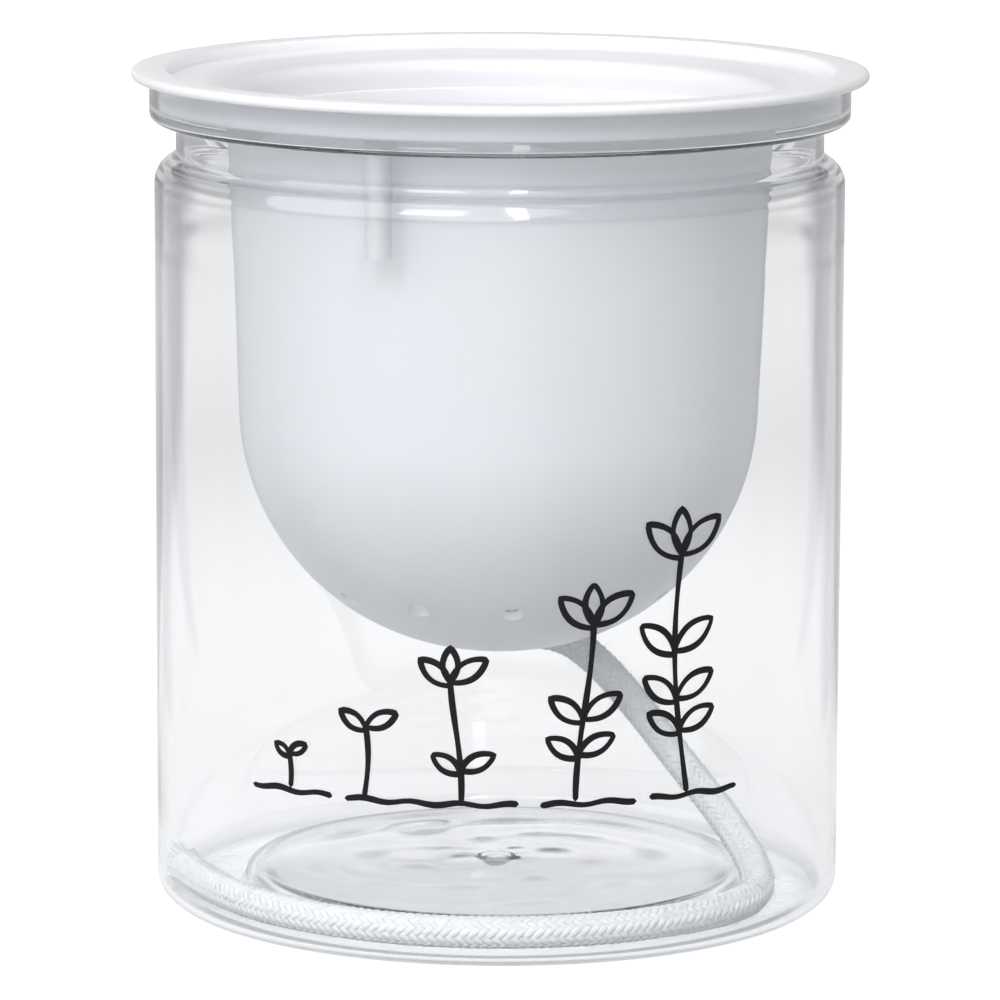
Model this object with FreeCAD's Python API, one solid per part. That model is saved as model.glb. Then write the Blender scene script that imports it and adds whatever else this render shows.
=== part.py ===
import FreeCAD, Part
import math
import os

# Hydroponic jar planter: a clear blow-moulded jar, a white pot that hangs in its
# mouth, and a braided cotton wick from the pot's bowl down into the jar.
# Millimetres, +Z up, origin on the standing surface at the jar's axis.
# The front of the planter faces -Y.

V = FreeCAD.Vector
ORIGIN = V(0, 0, 0)
UP = V(0, 0, 1)

# Jar, blow-moulded in clear plastic
jar_diameter = 100.0
jar_height = 120.0
jar_wall = 0.85
bead_projection = 0.7        # how far the mouth bead stands out past the body
bead_height = 6.0
bead_edge_radius = 1.2
neck_depth = 3.1             # groove depth, measured in from the body
neck_height = 5.1            # from the bead's underside down to the shoulder
neck_fillet_radius = 0.7
shoulder_drop = 1.3          # fall of the shoulder from the neck to the body's line
shoulder_radius = 3.9
heel_radius = 3.4
foot_width = 9.6             # standing ring, from the heel in to the centre disc
disc_rise = 3.5              # height of the pushed-up centre disc over the foot
disc_draft = 1.1             # how far the disc's side leans in over that height
disc_fillet_radius = 1.4
disc_crown = 0.8             # extra rise of the disc at its centre
gate_radius = 2.4            # solid pip under the disc, left by the moulding gate
gate_height = 0.9

# Pot, injection-moulded in white plastic
pot_depth = 84.9             # top of the flange to the outside of the round bottom
pot_wall = 1.2
flange_overhang = 2.6        # how far the flange stands out past the jar's bead
flange_thickness = 1.5
flange_edge_radius = 0.7
mouth_clearance = 0.5        # between the pot's skirt and the jar's bore
skirt_wall = 1.2
skirt_drop = 5.4             # skirt's lower edge below the top of the flange
skirt_edge_radius = 0.4
shelf_drop = 1.8             # recessed shelf below the top of the flange
shelf_width = 5.1
shelf_fillet_radius = 0.6
lip_width = 4.6              # rounded lip from the shelf into the cup
lip_drop = 1.3
lip_radius = 2.2
cup_draft = 3.3              # how much the cup narrows over its whole depth
bowl_flat_radius = 1.8       # level spot in the middle of the round bottom
soil_line_drop = 7.0         # ledge inside the cup, below the top of the flange
soil_line_step = 0.35
soil_line_radius = 0.3

# Drain holes, in a ring round the bowl
drain_count = 12
drain_radius = 1.5
drain_tilt = 42.5            # degrees up the bowl from straight down
drain_phase = 4.6            # degrees round from the front

# Vent tube, hanging from the shelf and open through it
vent_radius = 1.95
vent_bore_radius = 1.25
vent_length = 19.5
vent_draft = 0.1
vent_azimuth = -22.5         # degrees round from the front
vent_clearance = 0.5         # to the bore of the jar's neck

# Wick, round braided cord, and its knot inside the bowl
wick_diameter = 5.0
wick_hole_clearance = 0.35
wick_hole_tilt = 30.0        # degrees up the bowl from straight down
wick_hole_azimuth = 180.0    # at the back
knot_radius = 5.2
knot_seat = 0.3              # how far the knot sinks into the mouth of its hole
arc_share = 0.45             # part of the shorter run that a bend's tangent takes

# Overrun that takes a cut past the faces that it goes through
overrun = 1.0

# Route of the tail: out of the hole, right and down, then round the foot to the left
tail_route = [
    (0.0, 18.9, 43.0),
    (0.0, 21.8, 37.9),
    (4.0, 23.8, 33.9),
    (10.2, 23.6, 33.2),
    (15.5, 19.6, 29.8),
    (21.0, 13.6, 24.5),
    (27.2, 6.0, 17.7),
    (33.4, -1.5, 11.2),
    (37.4, -9.5, 6.3),
    (38.0, -18.2, 3.9),
    (33.2, -27.8, 3.65),
    (23.4, -36.4, 3.65),
    (11.6, -41.7, 3.65),
    (-1.6, -43.3, 3.65),
    (-14.6, -40.8, 3.65),
    (-26.2, -34.5, 3.65),
    (-35.2, -25.2, 3.65),
    (-40.9, -14.2, 3.65),
    (-43.0, -3.2, 3.65),
]

# Route of the head: out of the knot and curled in the bottom of the bowl
head_route = [
    (-4.0, 16.6, 46.4),
    (-9.5, 14.0, 44.9),
    (-14.5, 7.5, 44.1),
    (-14.6, -2.5, 43.5),
    (-8.6, -10.5, 43.3),
    (1.0, -12.6, 43.1),
]

# Radii and heights that the pieces share
jar_radius = jar_diameter / 2
bead_radius = jar_radius + bead_projection
mouth_radius = bead_radius - jar_wall
neck_radius = jar_radius - neck_depth
bead_bottom = jar_height - bead_height
neck_bottom = bead_bottom - neck_height

flange_top = jar_height + flange_thickness
flange_radius = bead_radius + flange_overhang
skirt_radius = mouth_radius - mouth_clearance
recess_radius = skirt_radius - skirt_wall
shelf_top = flange_top - shelf_drop
shelf_bottom = shelf_top - pot_wall
shelf_inner_radius = recess_radius - shelf_width
cup_inner_radius = shelf_inner_radius - lip_width
cup_radius = cup_inner_radius + pot_wall
pot_bottom = flange_top - pot_depth

# The bowl is an arc from the level spot up to the cup's leaning side, about a ring of centres
cup_lean = math.atan(cup_draft / (shelf_bottom - pot_bottom))
bowl_radius = (cup_radius - cup_draft - bowl_flat_radius) * math.tan(math.pi / 4 + cup_lean / 2)
bowl_ring_height = pot_bottom + bowl_radius
bowl_inner_radius = bowl_radius - pot_wall


def rounded_path(corners):
    """Edges through (r, z, radius) corners in the XZ plane, each inner corner rounded."""
    points = [V(r, 0, z) for r, z, radius in corners]
    edges = []
    start = points[0]
    for before, corner, after, (r, z, radius) in zip(points, points[1:], points[2:], corners[1:]):
        towards_before = (before - corner).normalize()
        towards_after = (after - corner).normalize()
        half_angle = towards_before.getAngle(towards_after) / 2
        if radius:
            reach = radius / math.tan(half_angle)
            depth = radius / math.sin(half_angle) - radius
            middle = corner + (towards_before + towards_after).normalize() * depth
            bend_start = corner + towards_before * reach
            bend_end = corner + towards_after * reach
            edges.append(Part.LineSegment(start, bend_start).toShape())
            edges.append(Part.Arc(bend_start, middle, bend_end).toShape())
            start = bend_end
        else:
            edges.append(Part.LineSegment(start, corner).toShape())
            start = corner
    edges.append(Part.LineSegment(start, points[-1]).toShape())
    return edges


def turned(face):
    """Solid of revolution of a face in the XZ plane."""
    return face.revolve(ORIGIN, UP, 360)


def polar(radius, azimuth, height):
    """Point at a radius and height; azimuth 0 is the front, positive towards +X."""
    turn = math.radians(azimuth)
    return V(radius * math.sin(turn), -radius * math.cos(turn), height)


def on_bowl(azimuth, tilt, radius):
    """Point at a distance from the bowl's ring of centres, tilted up from straight down."""
    lift = math.radians(tilt)
    return polar(bowl_flat_radius + radius * math.sin(lift), azimuth,
                 bowl_ring_height - radius * math.cos(lift))


def bowl_hole(azimuth, tilt, radius):
    """Cutter for a round hole square through the bowl."""
    inside = on_bowl(azimuth, tilt, bowl_inner_radius - overrun)
    outside = on_bowl(azimuth, tilt, bowl_radius + overrun)
    return Part.makeCylinder(radius, inside.distanceToPoint(outside), inside, outside - inside)


def make_jar():
    """One open profile, thickened inwards by the wall and turned, with the gate pip under it."""
    disc_foot_radius = jar_radius - heel_radius - foot_width
    disc_top = disc_rise + disc_crown
    profile = Part.Wire(rounded_path([
        (0, disc_top, 0),
        (gate_radius, disc_top, disc_fillet_radius),
        (disc_foot_radius - disc_draft, disc_rise, disc_fillet_radius),
        (disc_foot_radius, 0, disc_fillet_radius),
        (jar_radius, 0, heel_radius),
        (jar_radius, neck_bottom - shoulder_drop, shoulder_radius),
        (neck_radius, neck_bottom, neck_fillet_radius),
        (neck_radius, bead_bottom, neck_fillet_radius),
        (bead_radius, bead_bottom, bead_edge_radius),
        (bead_radius, jar_height, 0),
    ]))
    wall = profile.makeOffset2D(jar_wall, 0, True, True, False)
    pip = Part.makeCylinder(gate_radius, gate_height + jar_wall, V(0, 0, disc_top - gate_height))
    return turned(wall.Faces[0]).fuse(pip).removeSplitter()


def make_pot():
    """Flange, recessed shelf, skirt and round-bottomed cup turned from one closed outline."""
    soil_line = flange_top - soil_line_drop
    ledge_radius = cup_inner_radius - (shelf_bottom - soil_line) * math.tan(cup_lean)
    corners = [
        (0, pot_bottom, 0),
        (cup_radius - cup_draft, pot_bottom, bowl_radius),
        (cup_radius, shelf_bottom, shelf_fillet_radius),
        (recess_radius, shelf_bottom, shelf_fillet_radius),
        (recess_radius, flange_top - skirt_drop, skirt_edge_radius),
        (skirt_radius, flange_top - skirt_drop, skirt_edge_radius),
        (skirt_radius, jar_height, 0),
        (flange_radius, jar_height, flange_edge_radius),
        (flange_radius, flange_top, flange_edge_radius),
        (recess_radius, flange_top, shelf_fillet_radius),
        (recess_radius, shelf_top, shelf_fillet_radius),
        (shelf_inner_radius, shelf_top, lip_radius),
        (cup_inner_radius, shelf_top - lip_drop, lip_radius),
        (ledge_radius, soil_line, 0),
        (ledge_radius - soil_line_step, soil_line, soil_line_radius),
        (cup_inner_radius - cup_draft, pot_bottom + pot_wall, bowl_inner_radius),
        (0, pot_bottom + pot_wall, 0),
    ]
    edges = rounded_path(corners)
    edges.append(Part.LineSegment(V(0, 0, pot_bottom + pot_wall), V(0, 0, pot_bottom)).toShape())
    pot = turned(Part.Face(Part.Wire(edges)))

    vent_centre = neck_radius - jar_wall - vent_clearance - vent_radius
    vent_end = polar(vent_centre, vent_azimuth, shelf_bottom - vent_length)
    tube = Part.makeCone(vent_radius - vent_draft, vent_radius, vent_length + pot_wall / 2, vent_end)
    bore_length = vent_length + pot_wall + overrun * 2
    bore = Part.makeCylinder(vent_bore_radius, bore_length, vent_end - UP * overrun)

    holes = [
        bowl_hole(drain_phase + 360 * i / drain_count, drain_tilt, drain_radius)
        for i in range(drain_count)
    ]
    wick_hole_radius = wick_diameter / 2 + wick_hole_clearance
    holes.append(bowl_hole(wick_hole_azimuth, wick_hole_tilt, wick_hole_radius))
    return pot.fuse(tube).cut([bore] + holes).removeSplitter()


def make_cord(name, route):
    """Tube along straight runs, with a tangent arc at each point as large as its runs allow."""
    points = [V(*point) for point in route]
    edges = []
    radii = []
    start = points[0]
    for before, corner, after in zip(points, points[1:], points[2:]):
        reach = arc_share * min(corner.distanceToPoint(before), corner.distanceToPoint(after))
        towards_before = (before - corner).normalize()
        towards_after = (after - corner).normalize()
        half_angle = towards_before.getAngle(towards_after) / 2
        radius = reach * math.tan(half_angle)
        depth = radius / math.sin(half_angle) - radius
        middle = corner + (towards_before + towards_after).normalize() * depth
        bend_start = corner + towards_before * reach
        bend_end = corner + towards_after * reach
        edges.append(Part.LineSegment(start, bend_start).toShape())
        edges.append(Part.Arc(bend_start, middle, bend_end).toShape())
        radii.append(radius)
        start = bend_end
    edges.append(Part.LineSegment(start, points[-1]).toShape())
    path = Part.Wire(edges)
    ring = Part.Circle(points[0], points[1] - points[0], wick_diameter / 2).toShape()
    tube = path.makePipeShell([Part.Wire(ring)], True, False)
    section = math.pi * wick_diameter ** 2 / 4
    print(name, "length", round(path.Length, 1), "radii", [round(radius, 1) for radius in radii])
    print(name, "volume over section times length", round(tube.Volume / section / path.Length, 4))
    return tube


def make_knot():
    """Ball of the knotted cord, seated in the mouth of the wick's hole."""
    centre_radius = bowl_inner_radius - knot_radius + knot_seat
    return Part.makeSphere(knot_radius, on_bowl(wick_hole_azimuth, wick_hole_tilt, centre_radius))


pieces = {
    "jar": make_jar(),
    "insert_pot": make_pot(),
    "wick_tail": make_cord("wick_tail", tail_route),
    "wick_knot": make_knot(),
    "wick_head": make_cord("wick_head", head_route),
}

os.makedirs("parts", exist_ok=True)
for node, shape in pieces.items():
    shape.exportStep("parts/" + node + ".step")
    print(node, "valid", shape.isValid(), "solids", len(shape.Solids), "cm3", round(shape.Volume / 1000, 2))
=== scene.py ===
import math

import bpy
import numpy as np
from mathutils import Matrix, Vector


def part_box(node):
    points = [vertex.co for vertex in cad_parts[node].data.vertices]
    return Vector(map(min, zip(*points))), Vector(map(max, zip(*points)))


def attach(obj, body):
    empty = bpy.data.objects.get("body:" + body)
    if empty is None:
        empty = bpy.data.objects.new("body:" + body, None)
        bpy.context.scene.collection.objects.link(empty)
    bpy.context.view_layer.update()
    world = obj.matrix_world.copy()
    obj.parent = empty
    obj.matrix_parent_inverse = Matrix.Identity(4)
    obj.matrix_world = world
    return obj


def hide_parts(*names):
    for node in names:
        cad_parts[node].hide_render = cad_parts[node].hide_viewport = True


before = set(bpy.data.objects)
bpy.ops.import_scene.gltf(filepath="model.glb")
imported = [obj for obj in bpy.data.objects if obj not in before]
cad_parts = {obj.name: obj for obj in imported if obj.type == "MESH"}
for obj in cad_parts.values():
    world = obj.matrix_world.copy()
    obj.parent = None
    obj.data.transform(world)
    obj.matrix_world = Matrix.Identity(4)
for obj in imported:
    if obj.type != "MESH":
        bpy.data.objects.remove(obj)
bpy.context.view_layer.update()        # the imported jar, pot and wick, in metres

# The planter's front faces -Y. An azimuth of 0 is the front, and +X is at 90 degrees.
mm = 0.001


# Shapes: outlines, surfaces turned about the axis, and tubes along a line

def unitVectors(vectors):
    # each vector divided by its own length
    return vectors / np.linalg.norm(vectors, axis=-1, keepdims=True)


def roundedOutline(corners, arcStep=0.4 * mm):
    # straight runs between (r, z, radius) corners, with an arc tangent to both runs at each rounded corner
    corners = np.array(corners, float)
    points = [corners[:1, :2]]
    for before, corner, after in zip(corners[:, :2], corners[1:], corners[2:, :2]):
        radius = corner[2]
        corner = corner[:2]
        if radius == 0:
            points.append(corner[None])
            continue
        towardsBefore = unitVectors(before - corner)
        towardsAfter = unitVectors(after - corner)
        half = math.acos(np.clip(towardsBefore @ towardsAfter, -1, 1)) / 2
        middle = unitVectors(towardsBefore + towardsAfter)
        centre = corner + middle * radius / math.sin(half)
        arcPoints = max(5, round(radius * (math.pi - 2 * half) / arcStep))
        turn = np.linspace(half - math.pi / 2, math.pi / 2 - half, arcPoints)[:, None]
        side = unitVectors(towardsAfter - towardsBefore)
        points.append(centre - middle * radius * np.cos(turn) + side * radius * np.sin(turn))
    points.append(corners[-1:, :2])
    return np.vstack(points)


def subdivided(points, longest):
    # every run split into equal steps no longer than the given length
    runs = np.diff(points, axis=0)
    counts = np.ceil(np.linalg.norm(runs, axis=1) / longest).astype(int).clip(1)
    which = np.repeat(np.arange(len(counts)), counts)
    first = np.repeat(np.cumsum(counts) - counts, counts)
    share = (np.arange(len(which)) - first) / counts[which]
    return np.vstack([points[which] + runs[which] * share[:, None], points[-1:]])


def ringGrid(outline, segments):
    # each (r, z) point of the outline carried round the axis: x = r sin a, y = -r cos a
    azimuth = np.arange(segments) * 2 * math.pi / segments
    r, z = outline[:, :1], outline[:, 1:]
    return np.stack([r * np.sin(azimuth), -r * np.cos(azimuth), z + 0 * azimuth], axis=2)


def gridFaces(rows, columns, offset=0, closedRows=False):
    # quads between neighbouring rings of a grid whose columns close round, and whose rows may
    i = np.arange(rows if closedRows else rows - 1)[:, None] * columns
    j = np.arange(columns)[None]
    nextJ = (j + 1) % columns
    nextI = (i + columns) % (rows * columns)
    return np.stack([i + j, i + nextJ, nextI + nextJ, nextI + j], axis=2).reshape(-1, 4) + offset


def meshFrom(name, points, faces, smoothAngle=None):
    # points as an (n, 3) array, and faces as a list of arrays with one row for each face
    mesh = bpy.data.meshes.new(name)
    mesh.from_pydata(points.tolist(), [], [face for part in faces for face in part.tolist()])
    mesh.shade_smooth()
    if smoothAngle is not None:
        mesh.set_sharp_from_angle(angle=math.radians(smoothAngle))
    piece = bpy.data.objects.new(name, mesh)
    bpy.context.scene.collection.objects.link(piece)
    return piece


def turnedGrid(name, grid, smoothAngle=None):
    # rings from one pole on the axis to the other, each pole one vertex with a fan of triangles
    rings = grid[1:-1]
    rows, columns = rings.shape[:2]
    points = np.vstack([grid[0, :1], rings.reshape(-1, 3), grid[-1, :1]])
    j = np.arange(columns)
    nextJ = (j + 1) % columns
    last = len(points) - 1
    firstRing = 1 + j
    lastRing = 1 + (rows - 1) * columns + j
    faces = [
        gridFaces(rows, columns, 1),
        np.stack([0 * j, 1 + nextJ, firstRing], axis=1),
        np.stack([0 * j + last, lastRing, 1 + (rows - 1) * columns + nextJ], axis=1),
    ]
    return meshFrom(name, points, faces, smoothAngle)


def tubeGrid(line, sides, radius, frames):
    # circles of the given radius round each point of the line, in its frame's two cross directions
    turn = np.arange(sides) * 2 * math.pi / sides
    across, over = frames
    ring = np.cos(turn)[None, :, None] * across[:, None] + np.sin(turn)[None, :, None] * over[:, None]
    return line[:, None] + ring * np.reshape(radius, (-1, 1, 1))


def evenLine(line, step):
    # the line again, with points the given step apart
    along = np.concatenate([[0], np.cumsum(np.linalg.norm(np.diff(line, axis=0), axis=1))])
    places = np.linspace(0, along[-1], max(2, round(along[-1] / step) + 1))
    return np.stack([np.interp(places, along, line[:, k]) for k in range(3)], axis=1), places


def carriedFrames(line, start=(0, 0, 1)):
    # cross directions that turn with the line and don't twist about it
    tangents = unitVectors(np.gradient(line, axis=0))
    across = np.zeros_like(line)
    direction = np.array(start, float)
    for i, tangent in enumerate(tangents):
        direction = unitVectors(direction - tangent * (direction @ tangent))
        across[i] = direction
    return across, np.cross(tangents, across)


def curveLine(name, route):
    # the smooth line of a NURBS spline that has the route's points as its control points
    curve = bpy.data.curves.new(name, "CURVE")
    curve.dimensions = "3D"
    curve.resolution_u = 24
    spline = curve.splines.new("NURBS")
    spline.points.add(len(route) - 1)
    spline.points.foreach_set("co", np.column_stack([route, np.ones(len(route))]).ravel())
    spline.order_u = 3
    spline.use_endpoint_u = True
    holder = bpy.data.objects.new(name, curve)
    mesh = bpy.data.meshes.new_from_object(holder)
    line = np.zeros(len(mesh.vertices) * 3)
    mesh.vertices.foreach_get("co", line)
    bpy.data.objects.remove(holder)
    bpy.data.meshes.remove(mesh)
    bpy.data.curves.remove(curve)
    return line.reshape(-1, 3)


# Materials

def newMaterial(name):
    material = bpy.data.materials.new(name)
    material.use_nodes = True
    nodes, links = material.node_tree.nodes, material.node_tree.links
    nodes.clear()
    output = nodes.new("ShaderNodeOutputMaterial")
    shader = nodes.new("ShaderNodeBsdfPrincipled")
    links.new(shader.outputs["BSDF"], output.inputs["Surface"])
    return material, nodes, links, shader


def mathNode(nodes, links, operation, *values):
    # a Math node fed by sockets or numbers, and its result
    node = nodes.new("ShaderNodeMath")
    node.operation = operation
    for place, value in zip(node.inputs, values):
        if isinstance(value, (int, float)):
            place.default_value = value
        else:
            links.new(value, place)
    return node.outputs[0]


def mappedNoise(nodes, links, coordinates, scale, stretch=(1, 1, 1), detail=2.0):
    # noise on stretched coordinates, as a value from 0 to 1
    mapping = nodes.new("ShaderNodeMapping")
    mapping.inputs["Scale"].default_value = stretch
    links.new(coordinates, mapping.inputs["Vector"])
    noise = nodes.new("ShaderNodeTexNoise")
    noise.inputs["Scale"].default_value = scale
    noise.inputs["Detail"].default_value = detail
    links.new(mapping.outputs["Vector"], noise.inputs["Vector"])
    return noise.outputs["Fac"]


def rangeOf(nodes, links, value, fromLow, fromHigh, toLow, toHigh, smooth=False):
    node = nodes.new("ShaderNodeMapRange")
    node.interpolation_type = "SMOOTHSTEP" if smooth else "LINEAR"
    numbers = {"From Min": fromLow, "From Max": fromHigh, "To Min": toLow, "To Max": toHigh}
    for name, number in numbers.items():
        node.inputs[name].default_value = number
    links.new(value, node.inputs["Value"])
    return node.outputs["Result"]


def mixedColours(nodes, links, factor, first, second):
    ramp = nodes.new("ShaderNodeValToRGB")
    ramp.color_ramp.elements[0].color = (*first, 1)
    ramp.color_ramp.elements[1].color = (*second, 1)
    links.new(factor, ramp.inputs["Fac"])
    return ramp.outputs["Color"]


def bumpFrom(nodes, links, height, distance, shader):
    bump = nodes.new("ShaderNodeBump")
    bump.inputs["Distance"].default_value = distance
    links.new(height, bump.inputs["Height"])
    links.new(bump.outputs["Normal"], shader.inputs["Normal"])


looks = {
    "noiseMiddle": (0.3, 0.7),            # the part of a noise's range that a roughness takes up
    "clearIndex": 1.57,
    "clearRoughness": (0.006, 0.03),
    "flowScale": 90,
    "flowStretch": (1, 1, 0.25),          # longer up the wall
    "flowBump": 0.010 * mm,
    "clearShadow": (0.96, 0.97, 0.975),
    "clearTint": (0.66, 0.70, 0.76),
    "clearDensity": 150,
    "whiteScale": 35,
    "whiteColours": ((0.87, 0.875, 0.915), (0.90, 0.905, 0.94)),
    "whiteRoughness": (0.30, 0.38),
    "whiteIndex": 1.49,
    "whiteDepth": 4.0 * mm,
    "whiteScatter": 0.5,
    "eggshellScale": 1300,
    "eggshellBump": 0.006 * mm,
    "fibreStretch": (900, 7, 1),
    "fibreDetail": 3.0,
    "fibreBump": 0.10 * mm,
    "cottonColours": ((0.93, 0.93, 0.92), (0.995, 0.995, 0.985)),
    "cottonRoughness": 0.9,
    "cottonSheen": 0.6,
    "cottonSheenRoughness": 0.4,
    "inkScale": 2500,
    "inkColours": ((0.003, 0.003, 0.004), (0.010, 0.010, 0.012)),
    "inkRoughness": (0.42, 0.6),
    "inkSpecular": 0.18,
}


def clearPlastic():
    # blown plastic: clear, glossy, a little wavy up the wall, and darker where light goes far through it
    material, nodes, links, shader = newMaterial("clearPlastic")
    output = nodes["Material Output"]
    shader.inputs["Base Color"].default_value = (1, 1, 1, 1)
    shader.inputs["Transmission Weight"].default_value = 1
    shader.inputs["IOR"].default_value = looks["clearIndex"]
    place = nodes.new("ShaderNodeTexCoord").outputs["Object"]
    flow = mappedNoise(nodes, links, place, looks["flowScale"], looks["flowStretch"])
    roughness = rangeOf(nodes, links, flow, *looks["noiseMiddle"], *looks["clearRoughness"])
    links.new(roughness, shader.inputs["Roughness"])
    bumpFrom(nodes, links, flow, looks["flowBump"], shader)
    # lamps shine through the wall as through a thin film, so the shadow is soft and free of specks
    film = nodes.new("ShaderNodeBsdfTransparent")
    film.inputs["Color"].default_value = (*looks["clearShadow"], 1)
    path = nodes.new("ShaderNodeLightPath")
    shadow, diffuse = path.outputs["Is Shadow Ray"], path.outputs["Is Diffuse Ray"]
    either = mathNode(nodes, links, "MAXIMUM", shadow, diffuse)
    mix = nodes.new("ShaderNodeMixShader")
    links.new(either, mix.inputs[0])
    links.new(shader.outputs["BSDF"], mix.inputs[1])
    links.new(film.outputs[0], mix.inputs[2])
    links.new(mix.outputs[0], output.inputs["Surface"])
    tint = nodes.new("ShaderNodeVolumeAbsorption")
    tint.inputs["Color"].default_value = (*looks["clearTint"], 1)
    tint.inputs["Density"].default_value = looks["clearDensity"]
    links.new(tint.outputs[0], output.inputs["Volume"])
    return material


def whitePlastic():
    # moulded plastic that lets a little light through, with a fine eggshell surface
    material, nodes, links, shader = newMaterial("whitePlastic")
    place = nodes.new("ShaderNodeTexCoord").outputs["Object"]
    cloud = mappedNoise(nodes, links, place, looks["whiteScale"])
    links.new(mixedColours(nodes, links, cloud, *looks["whiteColours"]), shader.inputs["Base Color"])
    roughness = rangeOf(nodes, links, cloud, *looks["noiseMiddle"], *looks["whiteRoughness"])
    links.new(roughness, shader.inputs["Roughness"])
    shader.inputs["IOR"].default_value = looks["whiteIndex"]
    shader.inputs["Subsurface Weight"].default_value = looks["whiteScatter"]
    shader.inputs["Subsurface Radius"].default_value = (1.0, 1.0, 1.0)
    shader.inputs["Subsurface Scale"].default_value = looks["whiteDepth"]
    eggshell = mappedNoise(nodes, links, place, looks["eggshellScale"])
    bumpFrom(nodes, links, eggshell, looks["eggshellBump"], shader)
    return material


def cottonCord():
    # cotton yarn: its UV runs along the strand in u and round it in v, and fine fibres follow the strand
    material, nodes, links, shader = newMaterial("cottonCord")
    place = nodes.new("ShaderNodeUVMap")
    place.uv_map = "strand"
    fibre = mappedNoise(nodes, links, place.outputs["UV"], 1, looks["fibreStretch"], looks["fibreDetail"])
    links.new(mixedColours(nodes, links, fibre, *looks["cottonColours"]), shader.inputs["Base Color"])
    shader.inputs["Roughness"].default_value = looks["cottonRoughness"]
    shader.inputs["Sheen Weight"].default_value = looks["cottonSheen"]
    shader.inputs["Sheen Roughness"].default_value = looks["cottonSheenRoughness"]
    bumpFrom(nodes, links, fibre, looks["fibreBump"], shader)
    return material


def printInk():
    # flat black ink with a faint grain
    material, nodes, links, shader = newMaterial("printInk")
    place = nodes.new("ShaderNodeTexCoord").outputs["Object"]
    grain = mappedNoise(nodes, links, place, looks["inkScale"])
    links.new(mixedColours(nodes, links, grain, *looks["inkColours"]), shader.inputs["Base Color"])
    roughness = rangeOf(nodes, links, grain, *looks["noiseMiddle"], *looks["inkRoughness"])
    links.new(roughness, shader.inputs["Roughness"])
    shader.inputs["Specular IOR Level"].default_value = looks["inkSpecular"]
    return material


# Jar

jar = {
    "segments": 288,
    "wall": 0.85 * mm,
    "beadWall": 1.1 * mm,
    "outsideStep": 1.6 * mm,
    "insideStep": 0.85 * mm,
    "neckDepth": 3.1 * mm,
    "beadProjection": 0.7 * mm,
    "beadHeight": 6.0 * mm,
    "beadEdgeRadius": 1.2 * mm,
    "neckHeight": 5.1 * mm,
    "neckFilletRadius": 0.7 * mm,
    "shoulderDrop": 1.3 * mm,
    "shoulderRadius": 3.9 * mm,
    "heelRadius": 3.4 * mm,
    "footWidth": 9.6 * mm,
    "discRise": 3.5 * mm,
    "discDraft": 1.1 * mm,
    "discFilletRadius": 1.4 * mm,
    "discCrown": 0.8 * mm,
    "gateRadius": 2.4 * mm,
    "gateHeight": 0.9 * mm,
    "gateFilletRadius": 0.35 * mm,
    "smoothAngle": 50,
    "beadBlend": 1.5 * mm,
    # a ring where the blown wall is a little thicker, mostly at the sides
    "ringHeight": 96.5 * mm,
    "ringSpread": 1.2 * mm,
    "ringThickness": 0.04 * mm,
    # slow waves round and up the wall, between the heel and the shoulder
    "waveThickness": 0.02 * mm,
    "waveLow": 8 * mm,
    "waveHigh": 100 * mm,
    "waveBlend": 6 * mm,
    "waveRises": (21 * mm, 9 * mm),
    # fine rings inside the shoulder and the neck, and inside the bead
    "rippleThickness": 0.03 * mm,
    "rippleSpacing": 1.55 * mm,
    "rippleHeight": 108.5 * mm,
    "rippleSpread": 3.6 * mm,
    "beadRingThickness": 0.05 * mm,
    "beadRingSpacing": 1.3 * mm,
    "beadRingStart": 0.8 * mm,
    # flow marks round the gate
    "swirlThickness": 0.022 * mm,
    "swirlRadius": 34 * mm,
    "swirlBlend": 5 * mm,
    "swirlTurns": (1.9 * mm, 3.1 * mm),
    "swirlTop": 6 * mm,
}


def jarOutline():
    # corners of the jar's outside, from the pip under its base to the rim
    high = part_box("jar")[1]
    bead = high.x
    body = bead - jar["beadProjection"]
    neck = body - jar["neckDepth"]
    height = high.z
    beadBottom = height - jar["beadHeight"]
    neckBottom = beadBottom - jar["neckHeight"]
    discFoot = body - jar["heelRadius"] - jar["footWidth"]
    discTop = jar["discRise"] + jar["discCrown"]
    return [
        (0, discTop - jar["gateHeight"], 0),
        (jar["gateRadius"], discTop - jar["gateHeight"], jar["gateFilletRadius"]),
        (jar["gateRadius"], discTop, jar["gateFilletRadius"]),
        (discFoot - jar["discDraft"], jar["discRise"], jar["discFilletRadius"]),
        (discFoot, 0, jar["discFilletRadius"]),
        (body, 0, jar["heelRadius"]),
        (body, neckBottom - jar["shoulderDrop"], jar["shoulderRadius"]),
        (neck, neckBottom, jar["neckFilletRadius"]),
        (neck, beadBottom, jar["neckFilletRadius"]),
        (bead, beadBottom, jar["beadEdgeRadius"]),
        (bead, height, 0),
    ]


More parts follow.
